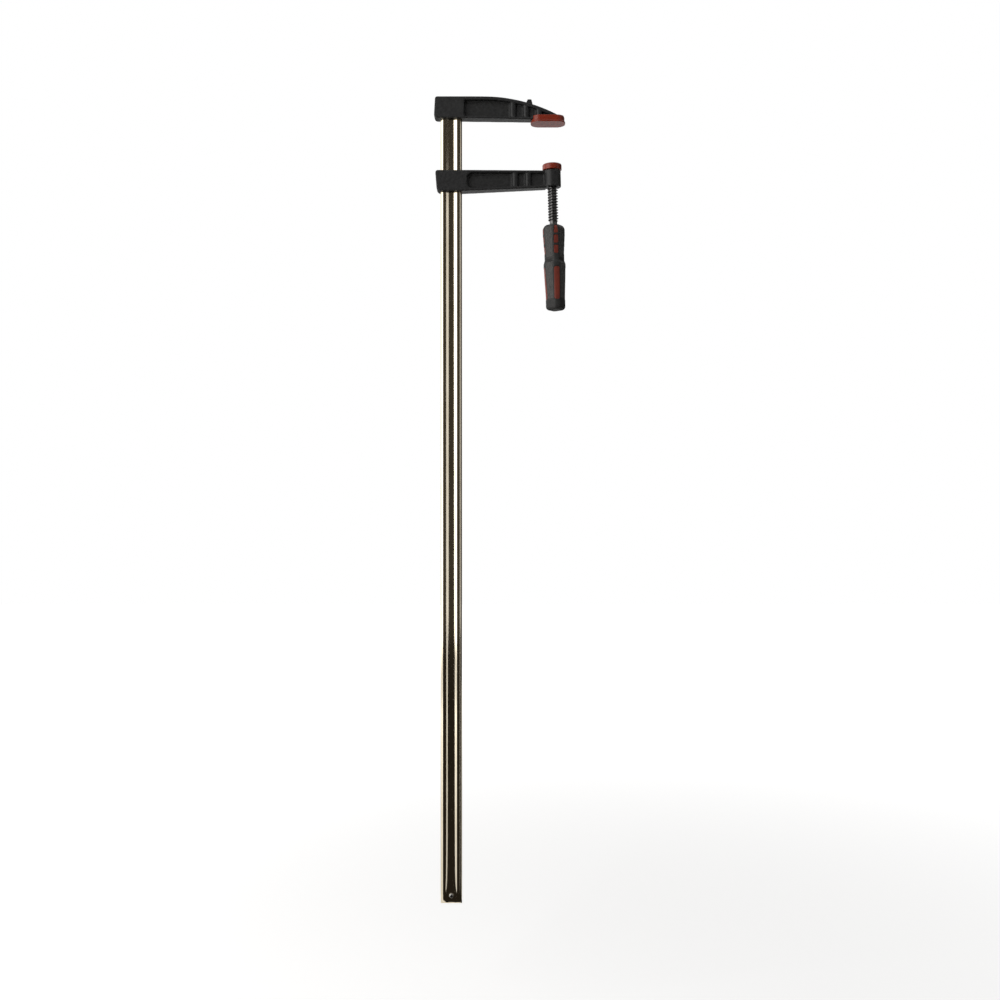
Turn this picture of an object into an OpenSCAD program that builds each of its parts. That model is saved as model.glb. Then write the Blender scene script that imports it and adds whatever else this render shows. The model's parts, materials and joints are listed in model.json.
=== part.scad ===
// Screw clamp: a grooved steel rail, a fixed and a sliding cast jaw, and a screw with a swivel plate.
// The origin is on the fixed jaw's clamping face, where the screw's axis meets it.
// +Z points up at the fixed jaw's end, and +X points from the rail to the screw.

/* [Clamp] */
// Reach from the rail's inner edge to the screw's axis, at the fixed jaw's face
throat = 120; // [100:1:160]
// Widest gap between the clamping faces
opening = 1000; // [400:10:1500]
// Gap between the clamping faces as drawn
rest_gap = 54.6; // [50:0.2:200]
// Lean of the screw's lower end away from the rail, in degrees
screw_lean = 1.5; // [0:0.1:2.5]

/* [Rail] */
// Width of the rail
rail_w = 29; // [26:0.5:36]
// Thickness of the rail over its lands
rail_t = 9.5; // [8.5:0.5:12]
// Radius of the rail's long edges
rail_edge_r = 4; // [1:0.5:4]
// Width of the groove at the lands
groove_w = 15.4; // [13:0.2:18]
// Width of the groove's floor
groove_floor_w = 9.7; // [8.4:0.1:11]
// Depth of the groove in each wide face
groove_depth = 1.5; // [0.8:0.1:2]
// Height of the bevel at the rail's lower end
end_bevel_h = 3.4; // [1:0.2:5]
// Depth of that bevel in each wide face
end_bevel_d = 1.8; // [0.6:0.1:2.4]

/* [End stop] */
// Diameter of the stop pin's shank
stop_shank_d = 4.5; // [3:0.1:5.5]
// Diameter of the stop pin's domed heads
stop_head_d = 7; // [6.4:0.1:8]
// Height of a domed head over the groove's floor
stop_head_h = 3.2; // [2.6:0.1:3.4]
// Distance from the stop pin's axis to the rail's end
stop_to_end = 10.5; // [8:0.5:16]

/* [Castings] */
// Thickness of both castings round the rail
collar_t = 18.5; // [16:0.5:22]
// Thickness of both castings at their outer ends
tip_t = 14; // [12:0.5:16]
// Thickness of the web between the flanges
web_t = 6; // [4:0.5:8]
// Diameter of the half-round ribs on the web
rib_d = 9; // [6:0.5:11]
// Distance between the ribs
rib_pitch = 17.6; // [14:0.2:22]

/* [Fixed jaw] */
// Height of the jaw's top over its clamping face
jaw_top = 35; // [31:0.5:42]
// Height of the jaw's underside at the rail
jaw_under = 6.2; // [5.4:0.1:8]
// Drop of the underside from the rail to the cover
jaw_under_drop = 1.7; // [0:0.1:2]
// Wall of the jaw behind the rail, at its top
jaw_back = 7.3; // [5:0.1:10]
// Lean of the jaw's back end over its height
jaw_back_lean = 1.6; // [0:0.2:5]
// Wall of the jaw between the rail and its recess
jaw_front = 3; // [2:0.2:6]
// Radius of the long arc along the jaw's top
jaw_arc_r = 215; // [205:1:260]
// Distance from the rail's inner edge to the start of that arc
jaw_arc_start = 30; // [20:1:34]
// Thickness of the upper flange
jaw_flange_top = 4.4; // [3:0.2:6]
// Thickness of the lower flange
jaw_flange_low = 2.6; // [2:0.2:4]
// Ribs on each side of the jaw's web
jaw_ribs = 3; // [1:1:4]
// Distance from the screw's axis back to the jaw's first rib
jaw_rib_back = 16; // [13:0.2:20]
// Height of the lug over the arc below it
lug_h = 6; // [3:0.5:10]
// Width of the lug's flat top
lug_top_w = 4.2; // [2:0.2:6]
// Width by which the lug spreads to its base on the rail's side
lug_in_w = 3.4; // [1:0.2:5]
// Width by which the lug spreads to its base on the screw's side
lug_out_w = 1.7; // [0.5:0.1:4]
// Thickness of the lug
lug_t = 8; // [5:0.5:12]
// Distance from the screw's axis back to the lug
lug_back = 29; // [26:0.5:36]

/* [Jaw cover] */
// Length of the cover's face along the jaw
cover_l = 46.7; // [42:0.1:56]
// Width of the cover's face
cover_w = 28; // [26:0.5:34]
// Height of the cover's rim over its face
cover_h = 9.3; // [8:0.1:11]
// Height of the rim at the outer end
cover_end_h = 6.3; // [5.4:0.1:8]
// Length over which the rim falls to that height
cover_fall = 10; // [4:0.5:14]
// Thickness of the cover under the foot
cover_floor = 3; // [2:0.1:4]
// Thickness of the cover's walls
cover_wall = 2; // [1.4:0.1:3]
// Step of the face beyond the walls
cover_lip = 1.1; // [0.6:0.1:2]
// Height of that step
cover_lip_h = 1.8; // [1:0.1:2.8]
// Radius of the face's corners
cover_corner_r = 12; // [6:0.5:12]
// Distance from the screw's axis to the cover's outer end
cover_past = 19.3; // [16:0.1:24]
// Depth of the foot's top below the cover's rim
foot_sunk = 0.8; // [0.2:0.1:2]

/* [Sliding arm] */
// Height of the arm's collar along the rail
arm_h = 28.1; // [26:0.1:36]
// Rise of the arm's lower edge from the rail to the boss
arm_rise = 4.8; // [0:0.1:6]
// Wall of the arm behind the rail
arm_back = 6.8; // [5:0.1:10]
// Lean of the arm's back end over its height
arm_back_lean = 2.2; // [0:0.2:4]
// Radius of the collar's lower back corner
arm_corner_r = 4; // [1:0.5:5]
// Wall of the arm between the rail and its recess
arm_front = 6.8; // [4:0.2:10]
// Thickness of the arm's flanges
arm_flange = 3.4; // [2.4:0.2:4.4]
// Radius of the recess's corners
arm_recess_r = 7; // [3:0.5:8]
// Ribs on each side of the arm's web
arm_ribs = 2; // [1:1:4]
// Distance from the boss's axis back to the arm's first rib
arm_rib_back = 32.8; // [28:0.2:38]
// Diameter of the boss
boss_d = 23; // [21:0.5:28]
// Height of the boss
boss_h = 22; // [18:0.5:26]
// Height of the boss's top over the arm's upper edge
boss_proud = 0.5; // [0.4:0.1:2]

/* [Screw] */
// Outer diameter of the thread
screw_d = 13.8; // [12.6:0.1:15]
// Depth of the thread
thread_depth = 2; // [1.4:0.1:2.2]
// Rise of the thread in one turn
thread_pitch = 3.8; // [3:0.1:5]
// Turns that the handle makes from drawn back to full advance
screw_turns = 12; // [4:1:12]
// Length of plain neck between the thread and the handle
neck_l = 3.6; // [2:0.2:8]
// Diameter of that neck
neck_d = 10.2; // [9.6:0.1:12]
// Diameter of the tang in the handle
tang_d = 9; // [7:0.1:9.4]
// Width of the tang across its two flats
tang_flat_w = 7.4; // [5:0.1:8]
// Length of the tang
tang_l = 62; // [40:1:80]

/* [Swivel plate] */
// Diameter of the plate's cover
pad_d = 25.8; // [24.4:0.1:32]
// Height of the plate's cover
pad_h = 7.8; // [7.6:0.1:11]
// Thickness of the cover over the plate
pad_face_t = 2; // [1.4:0.1:2.2]
// Thickness of the cover's skirt
pad_skirt_t = 2.1; // [1.6:0.1:2.8]
// Bevel round the cover's face
pad_bevel = 0.8; // [0.3:0.1:1.4]
// Inward step of the skirt's snap lip
snap_step = 0.8; // [0.4:0.1:1.2]
// Height of the snap lip
snap_h = 0.9; // [0.6:0.1:1.2]
// Diameter of the screw's button end
button_d = 9; // [8:0.1:9.4]
// Radius of the button's dome and of the socket it turns in
button_dome_r = 6.5; // [5.5:0.1:9]
// Thickness of the button at its middle
button_t = 1.8; // [1.6:0.1:2.2]
// Diameter of the shank under the button
button_neck_d = 6; // [5:0.1:6.4]
// Thickness of the plate over the socket
socket_wall = 1; // [0.8:0.1:1.2]
// Diameter of the wire of the plate's ring
ring_wire_d = 1.2; // [0.9:0.1:1.3]
// Gap cut from the ring, in degrees
ring_gap = 40; // [20:5:90]

/* [Handle] */
// Length of the handle
handle_l = 116; // [108:1:140]
// Largest diameter over the handle's four corners
handle_d = 29.8; // [27:0.2:36]
// Diameter over the corners at the waist
waist_d = 26.6; // [25:0.2:29]
// Distance from the handle's top to its waist
waist_at = 48; // [45:0.5:50]
// Length from the waist to the bulge below it
bulge_l = 7; // [4:0.5:10]
// Height of the rounded shoulder
shoulder_h = 8; // [5:0.5:12]
// Diameter of the handle's top
handle_top_d = 12; // [11:0.5:16]
// Diameter over the corners where the rounded end starts
handle_end_d = 26.2; // [25:0.2:30]
// Height of the rounded end
end_round_h = 5; // [3:0.5:8]
// Depth of the four flats inside the corners
flat_depth = 1.9; // [1:0.1:2.6]
// Turn of the first corner from the front, in degrees
corner_turn = 9; // [0:1:45]
// Least wall of the soft grip over the core
grip_wall = 1.6; // [1:0.1:2.4]
// Thickness of the soft grip over the core's upper end
grip_top_t = 1.6; // [1.2:0.1:3]
// Thickness of the soft grip under the core's lower end
grip_end_t = 8; // [4:0.5:12]
// Upper windows in each corner
window_count = 3; // [1:1:3]
// Width of the upper windows
window_w = 6.4; // [4:0.2:7]
// Height of the upper windows
window_h = 11; // [8:0.2:11.6]
// Distance between the upper windows
window_pitch = 13.4; // [12.6:0.1:13.8]
// Distance from the handle's top to the first window's middle
window_at = 8.6; // [7:0.1:10]
// Width of the long lower window in each corner
long_window_w = 8; // [5:0.2:9]
// Height of the long lower window
long_window_h = 44; // [30:1:46]
// Distance from the handle's top to the long window's middle
long_window_at = 80.5; // [78:0.5:81]
// Depth of the red in the windows below the grip
window_depth = 0.3; // [0.1:0.1:0.8]
// Radius of the windows' corners
window_r = 1.4; // [0.5:0.1:1.9]

/* [Fits] */
// Gap between the rail and the fixed jaw
jaw_fit = 0.05; // [0.02:0.01:0.2]
// Gap between the rail and the sliding arm on each side
slide_fit = 0.35; // [0.3:0.05:0.8]
// Gap between the sliding arm and the stop pin at the widest opening
stop_gap = 0.4; // [0.2:0.1:1]
// Radial gap of pressed and moulded pieces
seat_fit = 0.05; // [0.02:0.01:0.15]
// Radial gap between the screw's thread and the boss's thread
thread_fit = 0.25; // [0.2:0.05:0.35]
// Gap added along the axis between the flanks of the two threads
flank_fit = 0.2; // [0.15:0.05:0.3]
// Gap of the button inside the plate
swivel_fit = 0.2; // [0.15:0.05:0.3]
// Room of the ring in its groove
ring_room = 0.45; // [0.4:0.05:0.55]
// Gap between the drawn back plate and the boss
pad_gap = 1.1; // [1:0.1:3]
// Gap round the windows of the grip
window_fit = 0.1; // [0.05:0.05:0.3]

/* [Hidden] */
$fn = 64;

// Length by which a cutter runs past what it cuts
over = 2;
// Points on a small rounded corner, on the jaw's long arc, and along each stretch of the handle's outline
arc_steps = 6;
long_arc_steps = 256;
line_steps = 6;

// Rail, along X
rail_in = -throat;
rail_mid = rail_in - rail_w / 2;
rail_out = rail_in - rail_w;

// Heights of the plate, the boss and the arm, with the plate drawn back
pad_top = -rest_gap;
pad_low = pad_top - pad_h;
boss_top = pad_low - pad_gap;
boss_low = boss_top - boss_h;
boss_x = -(boss_top - boss_h / 2) * tan(screw_lean);
arm_top = boss_top - boss_proud;
arm_low = arm_top - arm_h;

// Heights of the end stop and the rail's end
stop_z = arm_low - (opening - rest_gap) - stop_gap - stop_head_d / 2;
rail_low = stop_z - stop_to_end;
stop_seat = rail_t / 2 - groove_depth;

// Fixed jaw and its foot in the cover
arc_x = rail_in + jaw_arc_start;
arc_z = jaw_top - jaw_arc_r;
cover_mid = cover_past - cover_l / 2;
cover_inset = cover_lip + cover_wall;
foot_l = cover_l - 2 * (cover_inset + seat_fit);
foot_w = cover_w - 2 * (cover_inset + seat_fit);
foot_r = cover_corner_r - cover_inset - seat_fit;
foot_back = cover_mid - foot_l / 2;
foot_out = cover_mid + foot_l / 2;
foot_top = cover_h - foot_sunk;
under_tip = jaw_under - jaw_under_drop;
jaw_recess_x = rail_in + jaw_front;
function jaw_width(x) = collar_t + (tip_t - collar_t) * (x - jaw_recess_x) / (foot_out - jaw_recess_x);

// Screw, from its button end down to the handle's end
screw_r = screw_d / 2;
root_r = screw_r - thread_depth;
core_step = 0.05;
plate_top = pad_top - pad_face_t;
dome_top = plate_top - socket_wall - swivel_fit;
dome_z = dome_top - button_dome_r;
button_low = dome_top - button_t;
thread_margin = 1;
thread_top = boss_top - thread_margin;
thread_low = boss_low - screw_turns * thread_pitch - thread_margin;
handle_top = thread_low - neck_l;

// Thread: points round one turn, and its plain ends, flanks and crest as shares of the pitch
thread_steps = 20;
thread_lead = 0.2;
thread_flank = 0.3;
thread_crest = 0.2;
rod_lap = thread_lead * thread_pitch / 2;

// Form of the thread up one turn, as shares of the pitch and of the depth, widened along the axis by a share
function thread_form(widen) = [
    [-widen, 0],
    [thread_flank - widen, 1],
    [thread_flank + thread_crest + widen, 1],
    [2 * thread_flank + thread_crest + widen, 0]];

// The boss's thread starts far enough below the boss to have its full depth all the way through
boss_lead_turns = 1.9;
boss_rod_low = boss_low - boss_lead_turns * thread_pitch;
boss_rod_turns = ceil(boss_h / thread_pitch + boss_lead_turns + 1);
screw_rod_turns = floor((thread_top - thread_low) / thread_pitch - 1 - 2 * thread_lead);

// Swivel plate and its ring
plate_d = pad_d - 2 * pad_skirt_t - 2 * seat_fit;
plate_low = pad_low + seat_fit;
ring_z = button_low - swivel_fit - ring_wire_d / 2;
ring_groove_h = ring_wire_d + 2 * ring_room;
ring_groove_d = button_d + ring_wire_d + 2 * ring_room;
plate_mouth_d = button_d + swivel_fit;

// Handle: its corners and flats, and the ends of the stretches of its outline
corners = 4;
corner_step = 360 / corners;
first_corner = corner_turn - 90;
handle_r = handle_d / 2;
waist_r = waist_d / 2;
end_r = handle_end_d / 2;
bulge_at = waist_at + bulge_l;
end_at = handle_l - end_round_h;
core_inset = flat_depth + grip_wall;
core_low = handle_l - grip_end_t;

// Depth below the handle's top against corner radius, from the shoulder past waist and bulge to the round end
function ease(a, b, t) = a + (b - a) * (1 - cos(180 * t)) / 2;
function eased_line(z0, r0, z1, r1) = [for (k = [1 : line_steps])
    let (t = k / line_steps)
    [z0 + (z1 - z0) * t, ease(r0, r1, t)]];
function shoulder_point(t) = [shoulder_h * (1 - cos(90 * t)), ease(handle_top_d / 2, handle_r, t)];
function end_point(t) = [end_at + end_round_h * sin(90 * t), end_r - end_round_h * (1 - cos(90 * t))];
handle_line = concat(
    [for (k = [0 : line_steps]) shoulder_point(k / line_steps)],
    eased_line(shoulder_h, handle_r, waist_at, waist_r),
    eased_line(waist_at, waist_r, bulge_at, handle_r),
    eased_line(bulge_at, handle_r, end_at, end_r),
    [for (k = [1 : line_steps]) end_point(k / line_steps)]);

// A drawing in X and Z, extruded along Y and centred on it
module along_y(t) {
    rotate([90, 0, 0])
        linear_extrude(t, center = true)
            children();
}

// A drawing in Y and Z, extruded along X from 0
module along_x(l) {
    rotate([90, 0, 90])
        linear_extrude(l)
            children();
}

// Pieces drawn about Z, set on the screw's leaning axis
module on_screw() {
    rotate([0, -screw_lean, 0])
        children();
}

// A rectangle with rounded corners
module rounded_rect(l, w, r) {
    square([l - 2 * r, w], center = true);
    square([l, w - 2 * r], center = true);
    for (x = [-1, 1], y = [-1, 1])
        translate([x * (l / 2 - r), y * (w / 2 - r)])
            circle(r);
}

// Points on an arc about c
function arc(c, r, from, to) = [for (k = [0 : arc_steps])
    let (a = from + (to - from) * k / arc_steps)
    c + r * [cos(a), sin(a)]];

// Points of a threaded rod: a flat ring, a helix for each corner of the form, and a flat ring.
// The thread rises from the root over its first turn and falls back over its last.
function thread_share(i, count) = min(1, i / thread_steps, (count - i) / thread_steps);
function ring_points(r, z) = [for (j = [0 : thread_steps - 1])
    [r * cos(360 * j / thread_steps), r * sin(360 * j / thread_steps), z]];
function helix_points(r0, r1, low, pitch, form, count) = [for (i = [0 : count], f = form)
    let (a = 360 * i / thread_steps, r = r0 + (r1 - r0) * f[1] * thread_share(i, count))
    [r * cos(a), r * sin(a), low + pitch * (thread_lead + f[0] + i / thread_steps)]];

// Index of a helix point, where k is its corner of the form and i its step along the helix
function helix_at(i, k, kinds) = thread_steps + i * kinds + k;

// Two triangles that fill a four-sided face
function four_sided(a, b, c, d) = [[a, b, c], [a, c, d]];

// Faces of a threaded rod, from its lower ring up, where first(i) and last(i) are the form's two root corners
function rod_faces(count, kinds) =
    let (n = thread_steps,
         first = function(i) helix_at(i, 0, kinds),
         last = function(i) helix_at(i, kinds - 1, kinds),
         top = first(count + 1),
         rise = [0, for (k = [0 : kinds - 1]) helix_at(0, k, kinds), first(n)],
         fall = [last(count - n), for (k = [0 : kinds - 1]) helix_at(count, k, kinds), top])
    concat(
        [[for (j = [0 : n - 1]) j]],
        [for (j = [0 : n - 2]) each four_sided(j, first(j), first(j + 1), j + 1)],
        [[n - 1, first(n - 1), 0]],
        [for (m = [0 : len(rise) - 2]) [rise[m], first(n - 1), rise[m + 1]]],
        [for (i = [0 : count - 1], k = [0 : kinds - 2])
            each four_sided(helix_at(i, k, kinds), helix_at(i, k + 1, kinds),
                            helix_at(i + 1, k + 1, kinds), helix_at(i + 1, k, kinds))],
        [for (i = [0 : count - 1 - n]) each four_sided(last(i), first(i + n), first(i + n + 1), last(i + 1))],
        [for (m = [0 : len(fall) - 2]) [fall[m], fall[m + 1], last(count - n + 1)]],
        [[top, top + 1, last(count - n + 1)]],
        [for (j = [1 : n - 1])
            let (i = count - n + j)
            each four_sided(top + j, top + (j + 1) % n, last(i + 1), last(i))],
        [[for (j = [n - 1 : -1 : 0]) top + j]]);

function rod_height(turns) = thread_pitch * (turns + 1 + 2 * thread_lead);

// A threaded rod about Z, in step with every other rod of the same pitch
module threaded_rod(r0, r1, low, turns, form) {
    count = turns * thread_steps;
    rotate(360 * low / thread_pitch)
        polyhedron(concat(ring_points(r0, low),
                          helix_points(r0, r1, low, thread_pitch, form, count),
                          ring_points(r0, low + rod_height(turns))),
                   rod_faces(count, len(form)));
}

// Space of the rail, with a gap all round
module rail_space(gap, low, high) {
    translate([rail_mid, 0, low])
        linear_extrude(high - low)
            rounded_rect(rail_w + 2 * gap, rail_t + 2 * gap, rail_edge_r + gap);
}

// Solid that narrows from the collar to the outer end, seen from above
module plan_taper(low, high, back, narrow_from, out) {
    translate([0, 0, low])
        linear_extrude(high - low)
            polygon([[back, -collar_t / 2], [narrow_from, -collar_t / 2], [out, -tip_t / 2],
                     [out, tip_t / 2], [narrow_from, collar_t / 2], [back, collar_t / 2]]);
}

// Recesses on both sides of the web, from a drawing in X and Z
module web_recess() {
    depth = collar_t / 2;
    for (side = [-1, 1])
        translate([0, side * (web_t / 2 + depth / 2), 0])
            along_y(depth)
                children();
}

// Half-round upright ribs on the web, from the first one back to the rail
module ribs(first, count, low, high) {
    for (k = [0 : count - 1], side = [-1, 1])
        translate([first - k * rib_pitch, side * web_t / 2, low])
            cylinder(h = high - low, d = rib_d);
}

module rail() {
    color([0.36, 0.33, 0.29])
        difference() {
            translate([rail_mid, 0, rail_low])
                linear_extrude(jaw_top - rail_low)
                    difference() {
                        rounded_rect(rail_w, rail_t, rail_edge_r);
                        for (side = [0, 1])
                            mirror([0, side])
                                rail_groove();
                    }
            for (side = [0, 1])
                mirror([0, side, 0])
                    translate([rail_out - over, 0, rail_low])
                        along_x(rail_w + 2 * over)
                            polygon([[rail_t / 2 - end_bevel_d, 0], [rail_t / 2, end_bevel_h],
                                     [rail_t / 2 + over, end_bevel_h], [rail_t / 2 + over, -over],
                                     [rail_t / 2 - end_bevel_d, -over]]);
            translate([rail_mid, 0, stop_z])
                rotate([90, 0, 0])
                    cylinder(h = rail_t + 2 * over, d = stop_shank_d + 2 * seat_fit, center = true);
        }
}

// Section of the groove in one wide face of the rail
module rail_groove() {
    polygon([[-groove_w / 2, rail_t / 2], [-groove_floor_w / 2, stop_seat],
             [groove_floor_w / 2, stop_seat], [groove_w / 2, rail_t / 2],
             [groove_w / 2, rail_t / 2 + over], [-groove_w / 2, rail_t / 2 + over]]);
}

module end_stop_pin() {
    dome_r = (pow(stop_head_d / 2, 2) + pow(stop_head_h, 2)) / (2 * stop_head_h);
    color([0.55, 0.53, 0.5])
        translate([rail_mid, 0, stop_z])
            rotate([90, 0, 0]) {
                cylinder(h = 2 * stop_seat, d = stop_shank_d, center = true);
                for (side = [0, 1])
                    mirror([0, 0, side])
                        translate([0, 0, stop_seat])
                            intersection() {
                                cylinder(h = stop_head_h, d = stop_head_d);
                                translate([0, 0, stop_head_h - dome_r])
                                    sphere(dome_r);
                            }
            }
}

// Everything below the jaw's long upper arc, less a margin, in X and Z
module under_jaw_arc(margin) {
    translate([rail_out - jaw_arc_r, arc_z])
        square([arc_x - rail_out + jaw_arc_r, jaw_arc_r - margin]);
    translate([arc_x, arc_z])
        circle(jaw_arc_r - margin, $fn = long_arc_steps);
}

// Plan of the foot, carried back past the whole casting
module tip_plan(back) {
    length = foot_out - back + foot_w;
    translate([foot_out - length / 2, 0, 0])
        linear_extrude(jaw_top + over)
            rounded_rect(length, foot_w, foot_r);
}

module fixed_jaw() {
    back = rail_out - jaw_back - jaw_back_lean;
    lug_x = -lug_back;
    lug_low = arc_z + sqrt(pow(jaw_arc_r, 2) - pow(lug_x - arc_x, 2));
    color([0.13, 0.13, 0.13])
        difference() {
            union() {
                intersection() {
                    along_y(collar_t)
                        intersection() {
                            polygon([[back + jaw_back_lean, jaw_top], [back, jaw_under], [rail_in, jaw_under],
                                     [foot_back, under_tip], [foot_out, under_tip], [foot_out, jaw_top]]);
                            under_jaw_arc(0);
                        }
                    plan_taper(0, jaw_top, back, jaw_recess_x, foot_out);
                    tip_plan(back);
                }
                intersection() {
                    translate([cover_mid, 0, cover_floor])
                        linear_extrude(foot_top - cover_floor)
                            rounded_rect(foot_l, foot_w, foot_r);
                    along_y(foot_w)
                        under_jaw_arc(0);
                }
                along_y(lug_t)
                    polygon([[lug_x - lug_top_w / 2 - lug_in_w, lug_low - over],
                             [lug_x - lug_top_w / 2, lug_low + lug_h],
                             [lug_x + lug_top_w / 2, lug_low + lug_h],
                             [lug_x + lug_top_w / 2 + lug_out_w, lug_low - over]]);
            }
            difference() {
                web_recess()
                    intersection() {
                        polygon([[jaw_recess_x, jaw_top], [jaw_recess_x, jaw_under + jaw_flange_low],
                                 [foot_back - over, under_tip + jaw_flange_low], [foot_back - over, cover_h],
                                 [foot_out, cover_h], [foot_out, jaw_top]]);
                        under_jaw_arc(jaw_flange_top);
                    }
                ribs(-jaw_rib_back, jaw_ribs, 0, jaw_top);
            }
            rail_space(jaw_fit, 0, jaw_top + over);
        }
}

module jaw_cover() {
    back = cover_mid - cover_l / 2;
    wall_l = cover_l - 2 * cover_lip;
    wall_w = cover_w - 2 * cover_lip;
    notch_w = jaw_width(back) + 2 * seat_fit;
    color([0.62, 0.16, 0.1])
        difference() {
            translate([cover_mid, 0, 0]) {
                linear_extrude(cover_lip_h)
                    rounded_rect(cover_l, cover_w, cover_corner_r);
                linear_extrude(cover_h)
                    rounded_rect(wall_l, wall_w, cover_corner_r - cover_lip);
            }
            translate([cover_mid, 0, cover_floor])
                linear_extrude(cover_h)
                    rounded_rect(foot_l + 2 * seat_fit, foot_w + 2 * seat_fit, foot_r + seat_fit);
            translate([back - over, -notch_w / 2, under_tip - seat_fit])
                cube([cover_corner_r + over, notch_w, cover_h]);
            along_y(cover_w + over)
                polygon([[cover_past - cover_fall, cover_h], [cover_past, cover_end_h],
                         [cover_past + over, cover_end_h], [cover_past + over, cover_h + over],
                         [cover_past - cover_fall, cover_h + over]]);
        }
}

module sliding_arm() {
    back = rail_out - slide_fit - arm_back;
    lean = atan(arm_back_lean / arm_h);
    corner = [back + arm_back_lean + arm_corner_r * (1 - sin(lean)) / cos(lean), arm_low + arm_corner_r];
    out = boss_x - screw_r - over;
    tip_low = arm_low + arm_rise;
    recess_back = rail_in + arm_front;
    recess_top = arm_top - arm_flange;
    recess_low = arm_low + arm_flange;
    upper_corner = [recess_back + arm_recess_r, recess_top - arm_recess_r];
    lower_corner = [recess_back + arm_recess_r, recess_low + arm_recess_r];
    color([0.13, 0.13, 0.13])
        difference() {
            union() {
                intersection() {
                    along_y(collar_t)
                        polygon(concat([[back, arm_top]], arc(corner, arm_corner_r, 180 + lean, 270),
                                       [[rail_in, arm_low], [out, tip_low], [out, arm_top]]));
                    plan_taper(arm_low, arm_top, back, recess_back, out);
                }
                on_screw()
                    translate([0, 0, boss_low])
                        cylinder(h = boss_h, d = boss_d);
            }
            difference() {
                web_recess()
                    polygon(concat(arc(upper_corner, arm_recess_r, 90, 180),
                                   arc(lower_corner, arm_recess_r, 180, 270),
                                   [[out, tip_low + arm_flange], [out, recess_top]]));
                ribs(boss_x - arm_rib_back, arm_ribs, arm_low, arm_top);
                on_screw()
                    translate([0, 0, boss_low])
                        cylinder(h = boss_h, d = boss_d);
            }
            on_screw()
                threaded_rod(root_r + thread_fit, screw_r + thread_fit, boss_rod_low, boss_rod_turns,
                             thread_form(flank_fit / thread_pitch));
            rail_space(slide_fit, arm_low - over, arm_top + over);
        }
}

module spindle() {
    rod_top = thread_low + rod_height(screw_rod_turns);
    color([0.12, 0.12, 0.12])
        on_screw() {
            threaded_rod(root_r, screw_r, thread_low, screw_rod_turns, thread_form(0));
            translate([0, 0, rod_top - rod_lap])
                cylinder(h = thread_top - rod_top + rod_lap, r = root_r + core_step);
            translate([0, 0, thread_top])
                cylinder(h = button_low - thread_top, d = button_neck_d);
            intersection() {
                translate([0, 0, button_low])
                    cylinder(h = button_t, d = button_d);
                translate([0, 0, dome_z])
                    sphere(button_dome_r);
            }
            translate([0, 0, handle_top])
                cylinder(h = neck_l + rod_lap, d = neck_d);
            tang(0);
        }
}

// Tang with two flats, with a gap all round
module tang(gap) {
    translate([0, 0, handle_top - tang_l - gap])
        intersection() {
            cylinder(h = tang_l + gap, d = tang_d + 2 * gap);
            translate([-tang_d, -tang_flat_w / 2 - gap, 0])
                cube([2 * tang_d, tang_flat_w + 2 * gap, tang_l + gap]);
        }
}

module plate_ring() {
    color([0.6, 0.6, 0.62])
        on_screw()
            translate([0, 0, ring_z])
                rotate(ring_gap / 2)
                    rotate_extrude(angle = 360 - ring_gap)
                        translate([button_d / 2, 0])
                            circle(d = ring_wire_d);
}

module pressure_plate() {
    color([0.5, 0.5, 0.52])
        on_screw()
            difference() {
                union() {
                    translate([0, 0, plate_low + snap_h])
                        cylinder(h = plate_top - plate_low - snap_h, d = plate_d);
                    translate([0, 0, plate_low])
                        cylinder(h = snap_h, d = plate_d - 2 * snap_step - 2 * seat_fit);
                }
                intersection() {
                    translate([0, 0, dome_z])
                        sphere(button_dome_r + swivel_fit);
                    translate([0, 0, ring_z])
                        cylinder(h = dome_top - ring_z + over, d = plate_d);
                }
                translate([0, 0, ring_z - ring_groove_h / 2])
                    cylinder(h = ring_groove_h, d = ring_groove_d);
                translate([0, 0, plate_low - over])
                    cylinder(h = ring_z - plate_low + over, d = plate_mouth_d);
            }
}

module plate_cover() {
    inner = plate_d / 2 + seat_fit;
    color([0.66, 0.2, 0.13])
        on_screw()
            rotate_extrude()
                polygon([[0, pad_top], [pad_d / 2 - pad_bevel, pad_top], [pad_d / 2, pad_top - pad_bevel],
                         [pad_d / 2, pad_low], [inner - snap_step, pad_low],
                         [inner - snap_step, pad_low + snap_h], [inner, pad_low + snap_h],
                         [inner, plate_top], [0, plate_top]]);
}

// Outer form of the handle about Z from 0 down, set in by a margin, with four flats between its corners
module handle_form(margin) {
    difference() {
        rotate_extrude()
            polygon(concat([for (p = handle_line) [p[1] - margin, -p[0]]], [[0, -handle_l], [0, 0]]));
        for (k = [0 : corners - 1])
            rotate(first_corner + corner_step * (k + 1 / 2))
                along_y(handle_d)
                    polygon(concat([for (p = handle_line) [p[1] - flat_depth - margin, -p[0]]],
                                   [[handle_d, -handle_l - over], [handle_d, over]]));
    }
}

// Windows in the four corners of the handle, with a margin taken off all round
module windows(margin) {
    for (k = [0 : corners - 1])
        rotate(first_corner + corner_step * k) {
            for (m = [0 : window_count - 1])
                translate([0, 0, -window_at - m * window_pitch])
                    along_x(handle_d)
                        rounded_rect(window_w - 2 * margin, window_h - 2 * margin, window_r - margin);
            translate([0, 0, -long_window_at])
                along_x(handle_d)
                    rounded_rect(long_window_w - 2 * margin, long_window_h - 2 * margin, window_r - margin);
        }
}

// Round body of the core, with a gap added all round
module core_body(gap) {
    side = [for (p = handle_line) if (p[0] > grip_top_t && p[0] < core_low) p];
    rotate_extrude()
        polygon(concat([[0, -grip_top_t + gap], [core_radius(grip_top_t) + gap, -grip_top_t + gap]],
                       [for (p = side) [p[1] - core_inset + gap, -p[0]]],
                       [[core_radius(core_low) + gap, -core_low - gap], [0, -core_low - gap]]));
}

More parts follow.
